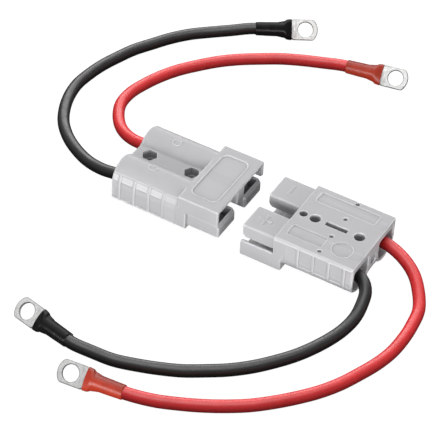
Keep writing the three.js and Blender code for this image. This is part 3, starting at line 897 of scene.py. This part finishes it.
def shrink(name, dark, light, low, high, ior):
    s = Surface(name, IOR=ior)
    s.colour(s.ramp(s.noise(220, 4, 0.6), (0.3, dark), (0.7, light)))
    s.rough(s.noise(140, 2), low, high)
    creased = s.bump(s.noise(60, 2, 0.5, (3, 6, 6)), 0.1, 0.0003)
    s.normal(s.bump(s.noise(1800, 2, 0.6), 0.03, 0.00006, creased))
    return s.material


def metal(name, dark, light, low, high, scale, brushed=None, metallic=1.0, rim=None):
    s = Surface(name, Metallic=metallic)
    cloud = s.ramp(s.noise(scale, 5, 0.65), (0.3, dark), (0.72, light))
    # With a rim colour, inner corners take the dark tone and outer edges the rim colour: painted shading
    # along the edges.
    s.colour(s.painted_edge_shading(cloud, dark, rim) if rim else cloud)
    s.rough(s.noise(scale * 1.7, 4, 0.6), low, high)
    fine = s.bump(s.noise(scale * 2.2, 4, 0.6), 0.25, 0.00012)
    if brushed:
        fine = s.bump(s.noise(1, 3, 0.6, brushed), 0.2, 0.00005, fine)
    s.normal(fine)
    return s.material


def strands():
    s = Surface("stranded_copper", Metallic=1.0)
    wave = s.node("ShaderNodeTexWave", wave_type="BANDS", bands_direction="DIAGONAL")
    wave.inputs["Scale"].default_value = 900
    s.link(s.where.outputs["Object"], wave.inputs["Vector"])
    s.colour(s.ramp(wave.outputs["Fac"], (0.1, (0.25, 0.09, 0.04)), (0.8, (0.75, 0.36, 0.2))))
    s.rough(s.noise(700), 0.3, 0.45)
    s.normal(s.bump(wave.outputs["Fac"], 0.6, 0.0002))
    return s.material


def dress(objects, material):
    for o in objects:
        o.data.materials.clear()
        o.data.materials.append(material)


dress(housings.values(), moulded_plastic())
dress(contacts, metal("silver_plate", (0.55, 0.54, 0.51), (0.85, 0.84, 0.80), 0.22, 0.36, 700))
dress(springs, metal("spring_steel", (0.35, 0.36, 0.37), (0.6, 0.61, 0.62), 0.25, 0.4, 500, (60, 2500, 60)))
# Tin plate: a painted dark outline of shade along its outer edges, rim colour 0.14 grey.
dress(lugs, metal(
    "tin_plate", (0.56, 0.56, 0.55), (0.80, 0.80, 0.78), 0.42, 0.6, 600,
    metallic=0.4, rim=(0.14, 0.14, 0.14)))
copper = strands()
INSULATION = {
    "black": insulation("black_insulation", (0.0125, 0.012, 0.0115), (0.017, 0.0165, 0.016)),
    "red": insulation("red_insulation", (0.46, 0.013, 0.015), (0.54, 0.019, 0.021)),
}
SHRINK = {
    "black": shrink("black_shrink", (0.004, 0.004, 0.004), (0.008, 0.008, 0.008), 0.24, 0.3, 1.28),
    "red": shrink("red_shrink", (0.33, 0.025, 0.010), (0.41, 0.036, 0.014), 0.30, 0.38, 1.5),
}
for index, name in enumerate(LEADS):
    colour = name.split("_")[1]
    dress([cords[name][0]], INSULATION[colour])
    dress([sleeves[index]], SHRINK[colour])
    dress([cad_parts[f"{name}_conductor"]], copper)

# ---------------------------------------------------------------------------
# Floor and light
# ---------------------------------------------------------------------------


def add_floor(name, height, shade, glow):
    mesh = bpy.data.meshes.new(name)
    size = 6.0
    corners = [(-size, -size, 0), (size, -size, 0), (size, size, 0), (-size, size, 0)]
    mesh.from_pydata(corners, [], [(0, 1, 2, 3)])
    floor = bpy.data.objects.new(name, mesh)
    bpy.context.collection.objects.link(floor)
    floor.location.z = height
    s = Surface(f"{name}_white")
    s.shader.inputs["Base Color"].default_value = (shade, shade, shade, 1)
    s.shader.inputs["Roughness"].default_value = 0.9
    s.shader.inputs["Specular IOR Level"].default_value = 0.1
    s.shader.inputs["Emission Color"].default_value = (1, 1, 1, 1)
    s.shader.inputs["Emission Strength"].default_value = glow
    mesh.materials.append(s.material)
    floor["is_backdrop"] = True
    return floor


def add_area(name, place, aim, size, power):
    data = bpy.data.lights.new(name, "AREA")
    data.shape = "RECTANGLE"
    data.size, data.size_y = size
    data.energy = power
    light = bpy.data.objects.new(name, data)
    light.location = place
    light.rotation_mode = "QUATERNION"
    light.rotation_quaternion = (Vector(place) - Vector(aim)).to_track_quat("Z", "Y")
    bpy.context.collection.objects.link(light)
    return light


def light_only(light, pieces):
    """Let a light fall on these pieces alone."""
    lit = bpy.data.collections.new(f"{light.name}_lit")
    for piece in pieces:
        lit.objects.link(piece)
    light.light_linking.receiver_collection = lit


def add_world():
    """A dim light tent, dark below the horizon."""
    world = bpy.data.worlds.new("studio")
    bpy.context.scene.world = world
    world.use_nodes = True
    tree = world.node_tree
    direction = tree.nodes.new("ShaderNodeTexCoord")
    parts = tree.nodes.new("ShaderNodeSeparateXYZ")
    fade = tree.nodes.new("ShaderNodeValToRGB")
    fade.color_ramp.interpolation = "EASE"
    low, high = fade.color_ramp.elements
    low.position, low.color = 0.0, (0.1, 0.1, 0.1, 1)
    high.position, high.color = 0.06, (1, 1, 1.02, 1)
    background = tree.nodes["Background"]
    tree.links.new(direction.outputs["Generated"], parts.inputs["Vector"])
    tree.links.new(parts.outputs["Z"], fade.inputs["Fac"])
    tree.links.new(fade.outputs["Color"], background.inputs["Color"])
    background.inputs["Strength"].default_value = 0.32


# The floor is a light table, so it stays white; the light that it throws back comes from the plane over it
seen_floor = add_floor("floor", -0.00004, 0.2, 1.0)
seen_floor.visible_diffuse = False
seen_floor.visible_glossy = False
bounce_floor = add_floor("floor_bounce", -0.00002, 0.55, 0)
bounce_floor.visible_camera = False
bounce_floor.visible_glossy = False
bounce_floor.visible_shadow = False
add_world()
hard_pieces = [*housings.values(), *contacts, *springs]
cables = [piece for piece, _, _ in cords.values()]
LIGHTS = (
    # name, place, aim, size, watts, the pieces it falls on (everything if None)
    ("overhead", (-0.5, 0.18, 1.3), (-0.5, 0.18, 0), (1.0, 1.4), 4.5, None),
    ("back", (-0.52, 1.0, 0.95), (0, 0, 0), (1.7, 0.9), 11, None),
    ("front_high", (0.1, -1.0, 1.1), (0, 0, 0), (1.4, 0.6), 1.5, hard_pieces),
    ("front", (0.1, -1.3, 0.28), (0, 0, 0.01), (2.4, 0.55), 27, [*hard_pieces, *sleeves]),
    ("right", (1.4, -0.45, 0.22), (0, 0, 0.01), (1.2, 0.5), 12, hard_pieces),
    ("rear", (-0.3, 1.35, 0.25), (0, 0, 0.01), (1.8, 0.5), 9, hard_pieces),
    ("left", (-1.4, 0.1, 0.25), (0, 0, 0.01), (1.2, 0.5), 7, hard_pieces),
    ("lead_key", (0, -0.2, 1.4), (0, 0, 0), (1.3, 1.3), 18, [*cables, *lugs]),
    ("lead_back", (-0.5, 1.2, 0.72), (0, 0, 0), (1.7, 0.5), 11, cables),
)
for name, place, aim, size, power, pieces in LIGHTS:
    light = add_area(name, place, aim, size, power)
    if pieces:
        light_only(light, pieces)
bpy.context.scene.view_settings.view_transform = "Standard"

# ---------------------------------------------------------------------------

size = {
    "cad": [list(corner) for corner in CAD_BOX],
    "visual": [list(corner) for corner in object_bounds()],
}
